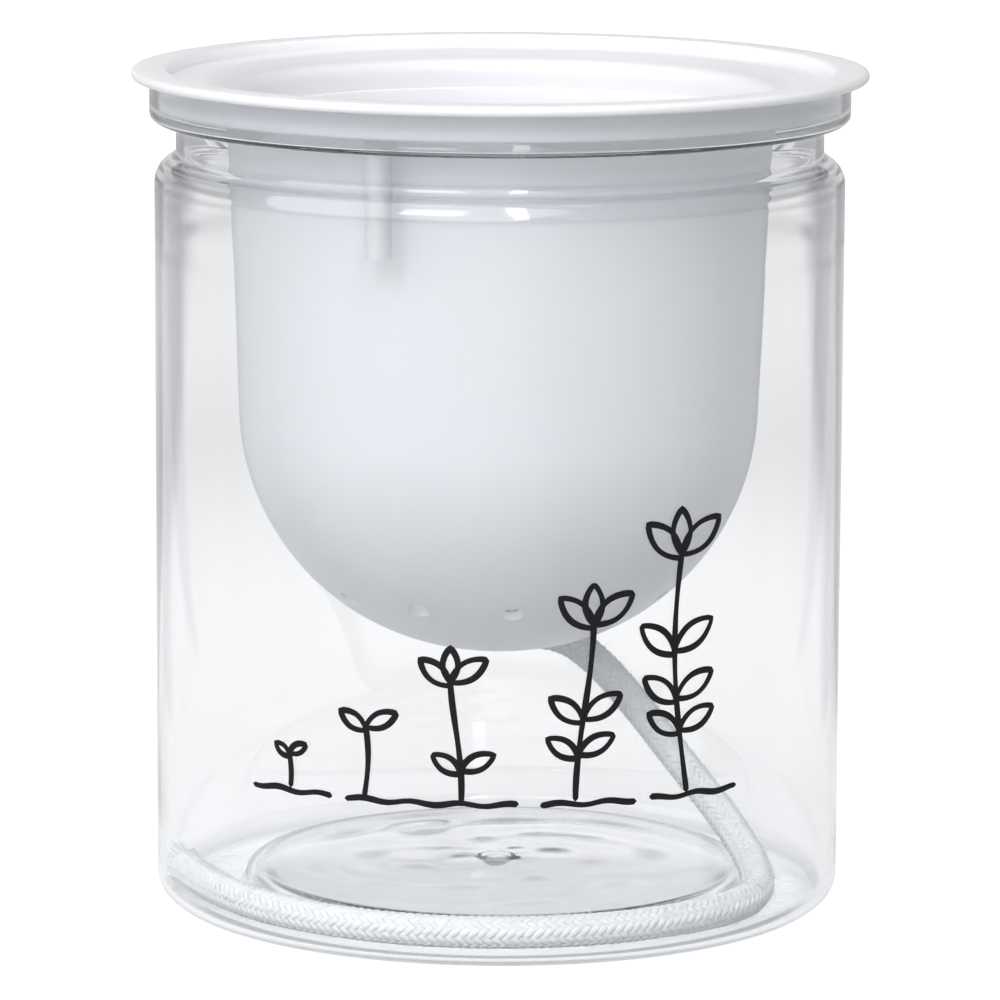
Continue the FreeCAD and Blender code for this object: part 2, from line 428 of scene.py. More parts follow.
def wallThickness(r, z, azimuth):
    # the blown wall, and on it a ring, slow waves, ripples by the neck and a swirl in the base
    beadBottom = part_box("jar")[1].z - jar["beadHeight"]
    bead = np.clip((z - beadBottom) / jar["beadBlend"], 0, 1) * (jar["beadWall"] - jar["wall"])
    nearRing = np.exp(-((z - jar["ringHeight"]) / jar["ringSpread"]) ** 2)
    ring = jar["ringThickness"] * np.sin(azimuth) ** 4 * nearRing
    onWall = np.clip(np.minimum(z - jar["waveLow"], jar["waveHigh"] - z) / jar["waveBlend"], 0, 1)
    slow, quick = jar["waveRises"]
    wave = np.sin(3 * azimuth + z / slow) + 0.6 * np.sin(7 * azimuth - z / quick + 1)
    wave = wave * jar["waveThickness"] * onWall
    nearNeck = np.exp(-((z - jar["rippleHeight"]) / jar["rippleSpread"]) ** 4)
    ripple = jar["rippleThickness"] * nearNeck * np.cos(2 * math.pi * z / jar["rippleSpacing"])
    inBase = np.clip((jar["swirlRadius"] - r) / jar["swirlBlend"], 0, 1)
    inBase = inBase * np.clip(r / jar["swirlBlend"], 0, 1)
    tight, loose = jar["swirlTurns"]
    swirl = np.sin(4 * azimuth + r / tight) + 0.7 * np.sin(7 * azimuth - r / loose + 2)
    swirl = swirl * jar["swirlThickness"] * inBase * (z < jar["swirlTop"])
    inBead = np.clip((z - beadBottom - jar["beadRingStart"]) / mm, 0, 1)
    beadRings = jar["beadRingThickness"] * inBead * np.cos(2 * math.pi * z / jar["beadRingSpacing"])
    return jar["wall"] + bead + ring + wave + ripple + swirl + beadRings


def makeJar():
    corners = jarOutline()
    outline = subdivided(roundedOutline(corners), jar["outsideStep"])
    # the inside leaves out the pip, and lies a wall's thickness in from the outside
    discTop = jar["discRise"] + jar["discCrown"]
    middle = [(0, discTop, 0), (jar["gateRadius"], discTop, jar["discFilletRadius"])]
    base = subdivided(roundedOutline(middle + corners[3:]), jar["insideStep"])
    tangents = unitVectors(np.gradient(base, axis=0))
    tangents[0] = (1, 0)
    tangents[-1] = (0, 1)
    inwards = np.stack([-tangents[:, 1], tangents[:, 0]], axis=1)
    outside = ringGrid(outline, jar["segments"])
    shell = ringGrid(base, jar["segments"])
    azimuth = np.arange(jar["segments"]) * 2 * math.pi / jar["segments"]
    thickness = wallThickness(base[:, :1], base[:, 1:], azimuth)
    inside = shell + ringGrid(inwards, jar["segments"]) * thickness[:, :, None]
    piece = turnedGrid("jarShell", np.concatenate([outside, inside[::-1]]), jar["smoothAngle"])
    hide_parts("jar")
    piece.data.materials.append(clearPlastic())
    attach(piece, "jar")


# Print on the front of the jar: seedlings from sprout to plant on a line of ground. Its strokes are
# (along the wall from the front, height over the ground), in mm until they go on the jar.

prints = {
    "stroke": 0.86 * mm,
    "proud": 0.035 * mm,
    "ground": 24 * mm,
    "step": 0.35 * mm,
    "unevenness": 0.12,
    "unevenLength": 1.7 * mm,
    "places": (-31, -19, -5, 11, 28),
    "heights": (5, 10, 17, 25, 34),
    "leafPairs": (1, 1, 2, 3, 4),
    "leafLengths": (3.2, 5.0, 6.0, 7.0, 8.0),
    "groundRuns": ((-38, -24), (-22, 3), (6, 20), (22, 37)),
    "groundWave": (-0.35, 0.22, 0.9),     # middle, height and waves per mm
    "leafPoints": 15,
    "leafRoundness": 0.8,
    "stemPoints": 16,
    "sway": 0.05,                         # of the stem's height
    "leafPlaces": (4, 10),                # first point of the stem with leaves, and points up to the last
    "leafGrowth": (0.72, 0.28),           # least size and growth, of a leaf's length
    "leafLift": (0.45, 0.25),             # angle of the lowest leaf, and how much more the others have
    "leafWidth": 0.42,                    # of a leaf's length
    "leftLeaf": (0.5, 0.12, 0.92, 0.40),  # how far down, how much flatter, share of size, width
    "bud": (0.8, 0.36),                   # length and width, of a leaf's length
}


def leafStroke(foot, angle, length, width):
    # along one side of a leaf and back: offset = width / 2 * sin(pi * share) ** roundness
    count = prints["leafPoints"]
    share = np.concatenate([np.linspace(0, 1, count), np.linspace(1, 0, count)[1:]])
    side = np.concatenate([np.ones(count), -np.ones(count - 1)])
    offset = side * width / 2 * np.abs(np.sin(math.pi * share)) ** prints["leafRoundness"]
    direction = np.array([math.cos(angle), math.sin(angle)])
    across = np.array([-direction[1], direction[0]])
    return np.array(foot) + (share * length)[:, None] * direction + offset[:, None] * across


def seedlingStrokes():
    # a swaying stem, pairs of leaves up it that grow larger, and a bud on the larger seedlings
    strokes = []
    firstPlace, placeSpan = prints["leafPlaces"]
    least, growth = prints["leafGrowth"]
    lowLift, moreLift = prints["leafLift"]
    drop, flatter, smaller, slimmer = prints["leftLeaf"]
    budLength, budWidth = prints["bud"]
    top = prints["stemPoints"] - 1
    rows = zip(prints["places"], prints["heights"], prints["leafPairs"], prints["leafLengths"])
    for place, height, pairs, leaf in rows:
        share = np.linspace(0, 1, top + 1)
        lean = prints["sway"] * height * np.sin(3 * share + place)
        stem = np.stack([place + lean - lean[0], share * height], axis=1)
        strokes.append(stem)
        for pair in range(pairs):
            at = top if pair == pairs - 1 else firstPlace + round(placeSpan * pair / pairs)
            size = leaf * (least + growth * (pair + 1) / pairs)
            lift = lowLift + moreLift * pair / pairs
            strokes.append(leafStroke(stem[at], lift, size, prints["leafWidth"] * size))
            foot = stem[at] - [0, drop]
            strokes.append(leafStroke(foot, math.pi - lift - flatter, size * smaller, slimmer * size))
        if pairs > 1:
            strokes.append(leafStroke(stem[top], math.pi / 2, leaf * budLength, budWidth * leaf))
    middle, rise, pace = prints["groundWave"]
    for start, end in prints["groundRuns"]:
        along = np.linspace(start, end, 24)
        strokes.append(np.stack([along, middle + rise * np.sin(pace * along)], axis=1))
    return [stroke * mm + [0, prints["ground"]] for stroke in strokes]


def makePrint():
    # each stroke is a flat closed tube on the wall, rounded at its ends:
    # width = stroke * (1 + unevenness * sin(along / unevenLength + number))
    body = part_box("jar")[1].x - jar["beadProjection"]
    section = np.array([(-0.5, 0), (0.5, 0), (0.42, 1), (-0.42, 1)])
    points, faces, offset = [], [], 0
    for number, stroke in enumerate(seedlingStrokes()):
        runs = np.linalg.norm(np.diff(stroke, axis=0), axis=1)
        along = np.concatenate([[0], np.cumsum(runs)])
        steps = max(8, round(along[-1] / prints["step"]))
        places = np.linspace(0, along[-1], steps)
        line = np.stack([np.interp(places, along, stroke[:, k]) for k in range(2)], axis=1)
        across = unitVectors(np.gradient(line, axis=0))[:, ::-1] * [-1, 1]
        fromEnd = np.minimum(places, along[-1] - places) / (prints["stroke"] / 2)
        rounded = np.sqrt(np.clip(1 - (1 - np.clip(fromEnd, 0.02, 1)) ** 2, 0, 1))
        uneven = 1 + prints["unevenness"] * np.sin(places / prints["unevenLength"] + number)
        width = prints["stroke"] * uneven * rounded
        flat = line[:, None] + across[:, None] * section[:, :1] * width[:, None, None]
        radius = body + prints["proud"] * section[:, 1]
        angle = flat[:, :, 0] / body
        grid = np.stack([radius * np.sin(angle), -radius * np.cos(angle), flat[:, :, 1]], axis=2)
        points.append(grid.reshape(-1, 3))
        ends = np.array([[3, 2, 1, 0], 4 * steps - np.array([4, 3, 2, 1])])
        faces += [gridFaces(steps, 4, offset), ends + offset]
        offset += 4 * steps
    piece = meshFrom("jarPrint", np.vstack(points), faces, 30)
    piece.data.materials.append(printInk())
    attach(piece, "jar")


# Pot

pot = {
    "segments": 256,
    "runStep": 2.0 * mm,
    "depth": 84.9 * mm,
    "wall": 1.2 * mm,
    "flangeEdgeRadius": 0.7 * mm,
    "mouthClearance": 0.5 * mm,
    "skirtWall": 1.2 * mm,
    "skirtDrop": 5.4 * mm,
    "skirtEdgeRadius": 0.4 * mm,
    "shelfDrop": 1.8 * mm,
    "shelfWidth": 5.1 * mm,
    "shelfFilletRadius": 0.6 * mm,
    "lipWidth": 4.6 * mm,
    "lipDrop": 1.3 * mm,
    "lipRadius": 2.2 * mm,
    "cupDraft": 3.3 * mm,
    "bowlFlatRadius": 1.8 * mm,
    "soilLineDrop": 7.0 * mm,
    "soilLineStep": 0.22 * mm,
    "soilLineRadius": 0.2 * mm,
    "drainCount": 12,
    "drainRadius": 1.5 * mm,
    "drainTilt": 42.5,
    "drainPhase": 4.6,
    "ventRadius": 1.95 * mm,
    "ventTaper": 0.1 * mm,
    "ventBoreRadius": 1.25 * mm,
    "ventLength": 19.5 * mm,
    "ventAzimuth": -22.5,
    "ventClearance": 0.5 * mm,
    "wickHoleRadius": 2.85 * mm,
    "wickHoleTilt": 30.0,
    "wickHoleAzimuth": 180.0,
    "cutOverrun": 2 * mm,
    "smoothAngle": 35,
}


def potSizes():
    # radii and heights that follow from the jar's mouth and the pot's own sizes
    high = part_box("insert_pot")[1]
    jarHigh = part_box("jar")[1]
    size = {"flange": high.x, "top": high.z, "rim": jarHigh.z}
    size["skirt"] = jarHigh.x - jar["wall"] - pot["mouthClearance"]
    size["recess"] = size["skirt"] - pot["skirtWall"]
    size["shelfTop"] = size["top"] - pot["shelfDrop"]
    size["shelfBottom"] = size["shelfTop"] - pot["wall"]
    size["shelfInner"] = size["recess"] - pot["shelfWidth"]
    size["cupInner"] = size["shelfInner"] - pot["lipWidth"]
    size["cup"] = size["cupInner"] + pot["wall"]
    size["bottom"] = size["top"] - pot["depth"]
    size["lean"] = math.atan(pot["cupDraft"] / (size["shelfBottom"] - size["bottom"]))
    size["bowl"] = (size["cup"] - pot["cupDraft"] - pot["bowlFlatRadius"]) * math.tan(
        math.pi / 4 + size["lean"] / 2)
    size["bowlCentre"] = size["bottom"] + size["bowl"]
    return size


def potOutline(size):
    # (r, z, radius) corners from under the bowl, out over the flange and back down inside the cup
    soilLine = size["top"] - pot["soilLineDrop"]
    ledge = size["cupInner"] - (size["shelfBottom"] - soilLine) * math.tan(size["lean"])
    inside = size["bottom"] + pot["wall"]
    fillet = pot["shelfFilletRadius"]
    return [
        (0, size["bottom"], 0),
        (size["cup"] - pot["cupDraft"], size["bottom"], size["bowl"]),
        (size["cup"], size["shelfBottom"], fillet),
        (size["recess"], size["shelfBottom"], fillet),
        (size["recess"], size["top"] - pot["skirtDrop"], pot["skirtEdgeRadius"]),
        (size["skirt"], size["top"] - pot["skirtDrop"], pot["skirtEdgeRadius"]),
        (size["skirt"], size["rim"], 0),
        (size["flange"], size["rim"], pot["flangeEdgeRadius"]),
        (size["flange"], size["top"], pot["flangeEdgeRadius"]),
        (size["recess"], size["top"], fillet),
        (size["recess"], size["shelfTop"], fillet),
        (size["shelfInner"], size["shelfTop"], pot["lipRadius"]),
        (size["cupInner"], size["shelfTop"] - pot["lipDrop"], pot["lipRadius"]),
        (ledge, soilLine, 0),
        (ledge - pot["soilLineStep"], soilLine, pot["soilLineRadius"]),
        (size["cupInner"] - pot["cupDraft"], inside, size["bowl"] - pot["wall"]),
        (0, inside, 0),
    ]


def onBowl(size, azimuth, tilt, radius):
    # a point at a distance from the bowl's ring of centres, tilted up from straight down
    lift, turn = math.radians(tilt), math.radians(azimuth)
    out = pot["bowlFlatRadius"] + radius * math.sin(lift)
    height = size["bowlCentre"] - radius * math.cos(lift)
    return np.array([out * math.sin(turn), -out * math.cos(turn), height])


def rod(start, end, radius, endRadius=None, sides=48):
    # points and faces of a closed round rod between two points; no rod lies along the frames' start
    line = np.array([start, end])
    frames = carriedFrames(line, (0.3, 0.9, 0.1))
    rings = tubeGrid(line, sides, [radius, endRadius or radius], frames)
    points = rings.reshape(-1, 3)
    ends = [np.arange(sides)[None, ::-1], sides + np.arange(sides)[None]]
    return points, [gridFaces(2, sides)] + ends


def joinedRods(name, rods):
    points, faces, offset = [], [], 0
    for rodPoints, rodFaces in rods:
        points.append(rodPoints)
        faces += [part + offset for part in rodFaces]
        offset += len(rodPoints)
    return meshFrom(name, np.vstack(points), faces)


def carved(piece, tool, operation):
    # the piece with the tool's shape cut out or joined on, and the tool taken away
    step = piece.modifiers.new(tool.name, "BOOLEAN")
    step.object = tool
    step.operation = operation
    step.solver = "EXACT"
    graph = bpy.context.evaluated_depsgraph_get()
    made = bpy.data.meshes.new_from_object(piece.evaluated_get(graph))
    piece.modifiers.remove(step)
    piece.data = made
    bpy.data.objects.remove(tool)


def makePot():
    size = potSizes()
    outline = subdivided(roundedOutline(potOutline(size)), pot["runStep"])
    piece = turnedGrid("potShell", ringGrid(outline, pot["segments"]))
    turn = math.radians(pot["ventAzimuth"])
    neckBore = size["skirt"] + pot["mouthClearance"] - jar["beadProjection"] - jar["neckDepth"]
    out = neckBore - pot["ventClearance"] - pot["ventRadius"]
    top = np.array([out * math.sin(turn), -out * math.cos(turn), size["shelfBottom"] + pot["wall"] / 2])
    low = top - [0, 0, pot["ventLength"] + pot["wall"] / 2]
    tube = rod(low, top, pot["ventRadius"] - pot["ventTaper"], pot["ventRadius"])
    carved(piece, joinedRods("ventTube", [tube]), "UNION")
    past = pot["cutOverrun"]
    cutters = [rod(low - [0, 0, past], top + [0, 0, past], pot["ventBoreRadius"])]
    holes = [(pot["drainPhase"] + 360 * i / pot["drainCount"], pot["drainTilt"], pot["drainRadius"])
             for i in range(pot["drainCount"])]
    holes.append((pot["wickHoleAzimuth"], pot["wickHoleTilt"], pot["wickHoleRadius"]))
    for azimuth, tilt, radius in holes:
        inner = onBowl(size, azimuth, tilt, size["bowl"] - pot["wall"] - past)
        outer = onBowl(size, azimuth, tilt, size["bowl"] + past)
        cutters.append(rod(inner, outer, radius))
    carved(piece, joinedRods("holes", cutters), "DIFFERENCE")
    piece.data.shade_smooth()
    piece.data.set_sharp_from_angle(angle=math.radians(pot["smoothAngle"]))
    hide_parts("insert_pot")
    piece.data.materials.append(whitePlastic())
    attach(piece, "pot")


# Wick

wick = {
    "diameter": 5.0 * mm,
    "strandsEachWay": 12,
    "lay": 15 * mm,
    "middleRadius": 2.06 * mm,
    "weave": 0.15 * mm,
    "strandWidth": 1.0 * mm,
    "strandHeight": 0.46 * mm,
    "strandSides": 7,
    "step": 0.55 * mm,
    "wander": 0.035,                    # of a strand's angle, in radians
    "wanderLength": 3.7 * mm,
    "fibreRadius": 0.016 * mm,
    "fibreLength": (0.7, 2.4),          # mm
    "fibreLift": 0.5,                   # at most, in mm
    "fibreSink": 0.12 * mm,             # how deep under the cord's surface a loose fibre starts
    "tailFibres": 2200,
    "headFibres": 450,
    "yarnRadius": 0.26 * mm,
    "yarnStart": 1.5 * mm,              # how far inside the cord a frayed yarn starts
    "yarnCurl": 0.5 * mm,
    "bundleRadius": 2.0 * mm,
    "tailFray": (5.5 * mm, 2.0 * mm, 90),   # length, spread and number of yarns
    "headFray": (3.5 * mm, 0.8 * mm, 60),
    "headFrayLift": 0.25 * mm,
    "fibreRoom": 0.1 * mm,
    "fibreSides": 3,
    "yarnSides": 6,
    "seeds": (3, 4, 5, 6),
    "knotScale": 1.42 * mm,
    "knotLoops": 1.1,
    "knotHeight": 1.2,
    "knotPoints": 120,
    "knotTightness": 0.9,
    "tailRoute": [
        (0.0, 18.9, 43.0), (0.0, 21.8, 37.9), (4.0, 23.8, 33.9), (10.2, 23.6, 33.2),
        (15.5, 19.6, 29.8), (21.0, 13.6, 24.5), (27.2, 6.0, 17.7), (33.4, -1.5, 11.2),
        (37.4, -9.5, 6.3), (38.0, -18.2, 3.9), (33.2, -27.8, 3.65), (23.4, -36.4, 3.65),
        (11.6, -41.7, 3.65), (-1.6, -43.3, 3.65), (-14.6, -40.8, 3.65), (-26.2, -34.5, 3.65),
        (-35.2, -25.2, 3.65), (-41.6, -14.2, 3.65), (-45.9, -3.2, 3.65),
    ],
    "headRoute": [
        (-2.8, 17.2, 46.0), (-9.5, 14.0, 44.9), (-14.5, 7.5, 44.1),
        (-14.6, -2.5, 43.5), (-8.6, -10.5, 43.3), (1.0, -12.6, 43.1),
    ],
}


def manyTubes(name, grid):
    # closed tubes in one mesh from grid[tube, ring, side], with UV u along each tube and v round it
    count, rings, sides = grid.shape[:3]
    size = rings * sides
    first = np.arange(count)[:, None, None] * size
    caps = np.stack([np.arange(sides)[::-1], size - sides + np.arange(sides)])
    body = (gridFaces(rings, sides) + first).reshape(-1, 4)
    caps = (caps + first).reshape(-1, sides)
    piece = meshFrom(name, grid.reshape(-1, 3), [body, caps])
    steps = np.linalg.norm(np.diff(grid.mean(axis=2), axis=1), axis=2)
    along = np.concatenate([np.zeros((count, 1)), np.cumsum(steps, axis=1)], axis=1)
    uv = np.zeros((count, rings - 1, sides, 4, 2))
    uv[..., 0] = np.stack([along[:, :-1], along[:, :-1], along[:, 1:], along[:, 1:]], axis=2)[:, :, None]
    # each tube has its own stretch of v, so no two look alike
    uv[..., 1] = (np.arange(sides)[:, None] + [0, 1, 1, 0]) / sides
    uv[..., 1] += 3 * np.arange(count)[:, None, None, None]
    flat = np.concatenate([uv.reshape(-1, 2), np.zeros((caps.size, 2))])
    layer = piece.data.uv_layers.new(name="strand")
    layer.data.foreach_set("uv", flat.ravel())
    return piece


def roundTubes(lines, radii, sides):
    # circles round each point of lines[tube, ring], square to the line and turned by a fixed direction
    tangents = unitVectors(np.gradient(lines, axis=1))
    across = unitVectors(np.cross(tangents, (0.31, 0.52, 0.79)))
    over = np.cross(tangents, across)
    turn = np.arange(sides) * 2 * math.pi / sides
    ring = np.cos(turn)[:, None] * across[:, :, None] + np.sin(turn)[:, None] * over[:, :, None]
    return lines[:, :, None] + ring * radii[:, :, None, None]


def braid(name, line, tightness=1.0):
    # each strand winds round the line, over and under the others: angle = start +- 2 pi s / lay,
    # radius = middle +- weave * cos(n / 2 * angle + pi / 4)
    places, along = evenLine(line, wick["step"])
    across, over = carriedFrames(places)
    tangents = np.cross(across, over)
    each = wick["strandsEachWay"]
    start = np.arange(each)[:, None] * 2 * math.pi / each
    section = np.arange(wick["strandSides"]) * 2 * math.pi / wick["strandSides"]
    slope = 2 * math.pi * wick["middleRadius"] / wick["lay"]
    strands = []
    for way in (1, -1):
        wander = wick["wander"] * np.sin(along / wick["wanderLength"] + 2.1 * start + way)
        angle = start + way * 2 * math.pi * along / wick["lay"] + wander
        radius = wick["middleRadius"] + way * wick["weave"] * np.cos(each / 2 * angle + math.pi / 4)
        outwards = np.cos(angle)[:, :, None] * across + np.sin(angle)[:, :, None] * over
        sideways = unitVectors(np.cross(tangents, outwards) - way * slope * tangents)
        centre = places + outwards * radius[:, :, None] * tightness
        ring = (np.cos(section)[:, None] * sideways[:, :, None] * wick["strandWidth"] / 2
                - np.sin(section)[:, None] * outwards[:, :, None] * wick["strandHeight"] / 2)
        strands.append(centre[:, :, None] + ring * tightness)
    piece = manyTubes(name, np.concatenate(strands))
    return piece, places, across, over


def keptInJar(points, room):
    # points moved off the jar's floor, wall and heel by the room that they need
    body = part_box("jar")[1].x - jar["beadProjection"]
    wall = body - jar["wall"] - room
    heel = body - jar["heelRadius"]
    bend = jar["heelRadius"] - jar["wall"] - room
    r = np.linalg.norm(points[..., :2], axis=-1)
    z = np.maximum(points[..., 2], jar["wall"] + room)
    newR = np.minimum(r, wall)
    out, down = newR - heel, jar["heelRadius"] - z
    far = np.hypot(out, down)
    pull = np.where((out > 0) & (down > 0) & (far > bend), bend / np.maximum(far, bend), 1)
    newR = np.where(out > 0, heel + out * pull, newR)
    z = np.where(down > 0, jar["heelRadius"] - down * pull, z)
    scale = newR / np.maximum(r, 1e-9)
    return np.concatenate([points[..., :2] * scale[..., None], z[..., None]], axis=-1)


def fuzz(places, across, over, count, seed):
    # loose fibres: each leaves the cord, runs off over its surface and lifts by lift * share ** 1.5
    chance = np.random.default_rng(seed)
    at = chance.integers(0, len(places), count)
    angle = chance.uniform(0, 2 * math.pi, (count, 1))
    outwards = np.cos(angle) * across[at] + np.sin(angle) * over[at]
    tangent = np.cross(across[at], over[at])
    heading = chance.uniform(0, 2 * math.pi, (count, 1))
    ahead = np.cos(heading) * tangent + np.sin(heading) * np.cross(tangent, outwards)
    length = chance.uniform(*wick["fibreLength"], (count, 1, 1)) * mm
    lift = chance.uniform(0.0, wick["fibreLift"], (count, 1, 1)) ** 1.3 * mm
    share = np.linspace(0, 1, 5)[:, None]
    start = (places[at] + outwards * (wick["diameter"] / 2 - wick["fibreSink"]))[:, None]
    lines = start + ahead[:, None] * length * share + outwards[:, None] * lift * share ** 1.5
    return lines, np.full((count, len(share)), wick["fibreRadius"])


def frayedEnd(places, across, over, length, spread, count, seed):
    # cut yarns: place = end + tangent * length * share + outwards * (start + opening * share ** 2) + curl
    chance = np.random.default_rng(seed)
    tangent = np.cross(across[-1], over[-1])
    angle = chance.uniform(0, 2 * math.pi, (count, 1, 1))
    outwards = np.cos(angle) * across[-1] + np.sin(angle) * over[-1]
    bundle, sunk = wick["bundleRadius"], wick["yarnStart"]
    begin = bundle * np.sqrt(chance.uniform(0, 1, (count, 1, 1)))
    reach = length * chance.uniform(0.45, 1.0, (count, 1, 1))
    opening = spread * chance.uniform(0.2, 1.0, (count, 1, 1)) * begin / bundle
    share = np.linspace(0, 1, 9)[:, None]
    curl = wick["yarnCurl"] * np.sin(4 * share + 6 * chance.uniform(0, 1, (count, 1, 3))) * share
    lines = places[-1] - tangent * sunk + tangent * (reach + sunk) * share
    lines = lines + outwards * (begin + opening * share ** 2) + curl
    radii = wick["yarnRadius"] * (1 - 0.45 * share[:, 0] ** 2) * np.ones((count, 1))
    return lines, radii


def knotLine():
    # a trefoil drawn tight: x = sin t + loops * sin 2t, y = cos t - loops * cos 2t, z = -height * sin 3t
    low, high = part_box("wick_knot")
    turn = np.linspace(0, 2 * math.pi, wick["knotPoints"])
    x = np.sin(turn) + wick["knotLoops"] * np.sin(2 * turn)
    y = np.cos(turn) - wick["knotLoops"] * np.cos(2 * turn)
    z = -wick["knotHeight"] * np.sin(3 * turn)
    return np.stack([x, y, z], axis=1) * wick["knotScale"] + np.array((low + high) / 2)


def makeWick():
    cotton = cottonCord()
    tailLine = curveLine("tailLine", np.array(wick["tailRoute"]) * mm)
    headLine = curveLine("headLine", np.array(wick["headRoute"]) * mm)
    tail, tailPath, *tailFrames = braid("wickTail", tailLine)
    head, headPath, *headFrames = braid("wickHead", headLine)
    seeds, fine, thick = wick["seeds"], wick["fibreSides"], wick["yarnSides"]
    lines, radii = fuzz(tailPath, *tailFrames, wick["tailFibres"], seeds[0])
    lines = keptInJar(lines, wick["fibreRoom"])
    tailFuzz = manyTubes("wickTailFuzz", roundTubes(lines, radii, fine))
    lines, radii = fuzz(headPath, *headFrames, wick["headFibres"], seeds[1])
    headFuzz = manyTubes("wickHeadFuzz", roundTubes(lines, radii, fine))
    lines, radii = frayedEnd(tailPath, *tailFrames, *wick["tailFray"], seeds[2])
    lines = keptInJar(lines, wick["yarnRadius"])
    tailEnd = manyTubes("wickTailEnd", roundTubes(lines, radii, thick))
    lines, radii = frayedEnd(headPath, *headFrames, *wick["headFray"], seeds[3])
    lines = lines + [0, 0, wick["headFrayLift"]]
    headEnd = manyTubes("wickHeadEnd", roundTubes(lines, radii, thick))
    knot = braid("wickKnot", knotLine(), wick["knotTightness"])[0]
    pieces = {"wick_tail": [tail, tailFuzz, tailEnd],
              "wick_head": [head, headFuzz, headEnd],
              "wick_knot": [knot]}
    for node, parts in pieces.items():
        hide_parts(node)
        for piece in parts:
            piece.data.materials.append(cotton)
            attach(piece, "pot")


# Studio

studio = {
    "lens": 220.73,
    "cameraBack": 882.92 * mm,
    "cameraHeight": 212.48 * mm,
    "cameraPitch": 0.1732,
    "cameraRoll": 0.0045,
    "shiftX": 0.00158,
    "nearest": 0.01,
    "ambient": 0.17,
    "backdropGlow": 0.6,      # low behind the planter, for everything but the camera
    "backdropTop": (0.215, 0.245),
    "backdropSide": (0.0, 0.5),
    # the floor's glow by ray; each pair is where a blend starts and ends, in m from the planter's middle
    "floorGlow": 0.75,                 # for the camera, near the planter
    "floorGlowFar": 0.45,              # added farther off, where the lamps reach less
    "farBlend": (0.25, 1.0),
    "floorGlowSeen": 0.48,             # for clear plastic and gloss
    "floorGlowRound": 0.16,            # added for them within a hand's breadth
    "roundBlend": (0.22, 0.45),
    "floorGlowBehind": 0.14,           # added for them about half a metre away
    "behindBlend": (0.35, 0.6),
    "behindEnd": (0.68, 0.85),
    "floorGlowDisc": 0.22,             # added for them under the centre disc
    "floorGlowUnder": 0.36,            # and under the standing ring
    "underBlend": (0.033, 0.038),
    "underEnd": (0.042, 0.047),
    # rings of painted shade on the floor, as radius and half width in mm, and depth; the pairs are x or y
    # in m
    "contactShadow": (46.4, 1.6, 0.85),      # a painted contact shadow: the dark line where the heel meets the floor in front
    "contactShadowFront": (-0.024, -0.010),
    "riserShade": (35.6, 3.6, 0.5),    # a painted shade that the centre disc's side shows in refraction, in front on the left and right
    "riserSides": (0.012, 0.022),
    "riserFront": (0.004, 0.010),
    "riserShift": 9 * mm,              # how far back the middle of its ring lies
    # cards that only refracted rays see, beside a strip whose half width is the lesser of two
    # lines, start + slope * distance, and which end before the diagonals
    "stripNear": (0.0502, 0.107),
    "stripFar": (0.062, 0.064),
    "cardEdge": (1.0, 1.2),            # of the strip's half width
    "cardSlant": (0.55, 0.65),
    "cardTurn": (0, 0.02),             # where y - |x| turns from elsewhere to behind
    "cardBehind": 0.75,                # strength behind the planter
    "cardElsewhere": 0.15,             # and on its other sides
    "paper": (0.45, 0.45, 0.45),
    "cardColour": (0.16, 0.18, 0.25),
    # a beam into the pot
    "beamPower": 22.0,
    "beamHeight": 1.2,
    "beamRadius": 20 * mm,
    "beamBlend": 0.7,
    "beamSoftness": 0.01,
    "panelHeight": 0.06,      # of the point that every panel faces
    "panels": {               # azimuth, elevation, distance, width, height, brightness
        "leftPanel": (-36, 37, 1.1, 2.2, 1.3, 1.55),
        "rightPanel": (60, 38, 1.1, 1.9, 1.3, 0.38),
        "topPanel": (0, 88, 1.2, 1.0, 1.0, 1.2),
        "strip": (7, 36, 1.1, 0.1, 1.0, 5.0),
        "leftStrip": (-24, 37, 1.1, 0.35, 0.4, 4.5),
    },
}


def makeCamera():
    data = bpy.data.cameras.new("camera")
    data.lens = studio["lens"]
    data.sensor_width = 36
    data.shift_x = studio["shiftX"]
    data.clip_start = studio["nearest"]
    camera = bpy.data.objects.new("camera", data)
    bpy.context.scene.collection.objects.link(camera)
    tip = Matrix.Rotation(math.pi / 2 - studio["cameraPitch"], 4, "X")
    roll = Matrix.Rotation(studio["cameraRoll"], 4, "Z")
    place = Matrix.Translation((0, -studio["cameraBack"], studio["cameraHeight"]))
    camera.matrix_world = place @ tip @ roll
    bpy.context.scene.camera = camera


def softPanel(name, azimuth, elevation, distance, width, height, brightness):
    data = bpy.data.lights.new(name, "AREA")
    data.shape = "RECTANGLE"
    data.size, data.size_y = width, height
    data.energy = brightness * math.pi * width * height
    lamp = bpy.data.objects.new(name, data)
    bpy.context.scene.collection.objects.link(lamp)
    turn, lift = math.radians(azimuth), math.radians(elevation)
    level = math.cos(lift)
    away = Vector((math.sin(turn) * level, -math.cos(turn) * level, math.sin(lift)))
    lamp.location = away * distance + Vector((0, 0, studio["panelHeight"]))
    lamp.rotation_mode = "QUATERNION"
    lamp.rotation_quaternion = away.to_track_quat("Z", "Y")


